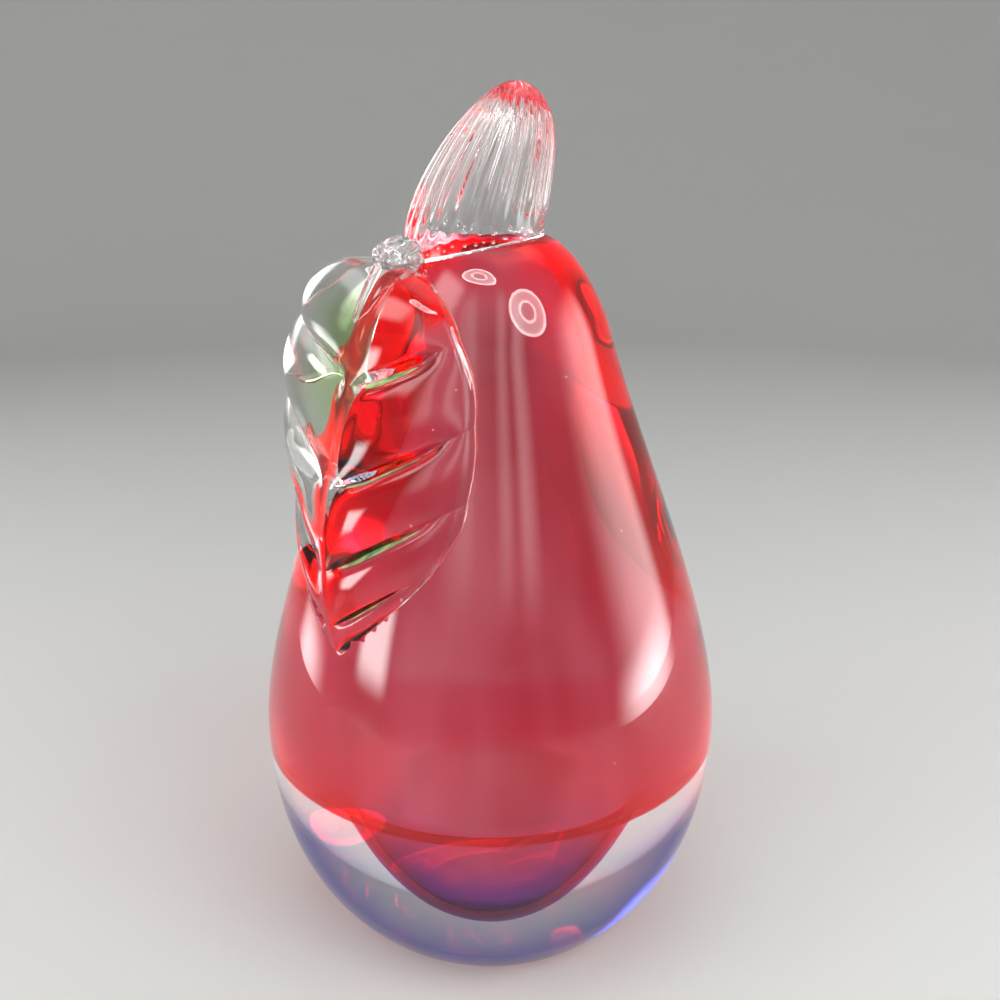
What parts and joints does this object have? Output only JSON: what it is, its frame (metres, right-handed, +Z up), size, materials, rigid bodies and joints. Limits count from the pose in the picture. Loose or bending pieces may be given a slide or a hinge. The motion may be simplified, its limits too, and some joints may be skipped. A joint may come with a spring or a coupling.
{
  "type": "glass pear paperweight",
  "caption": "Pear-shaped cased glass paperweight in ruby with a blue lower rim, clear ribbed stem and clear pressed leaf, standing on a flat ground foot.",
  "frame": {"origin": "centre of the flat ground foot, on the pear's axis", "axes": "+Z up along the pear's axis, front towards -Y, the leaf on the left of the front, towards -X and -Y"},
  "size_m": [0.0762, 0.0762, 0.14],
  "materials": {
    "clear_glass": "fire polished",
    "ruby_glass": "cased, fire polished",
    "blue_glass": "cased, fire polished",
    "leaf_glass": "pressed, fire polished"
  },
  "bodies": {
    "root": {"clear_heart": "clear_glass", "ruby_layer": "ruby_glass", "inner_casing": "clear_glass", "blue_cup": "blue_glass", "outer_casing": "clear_glass", "stem": "clear_glass", "leaf": "leaf_glass", "leaf_bead": "clear_glass"}
  },
  "joints": []
}
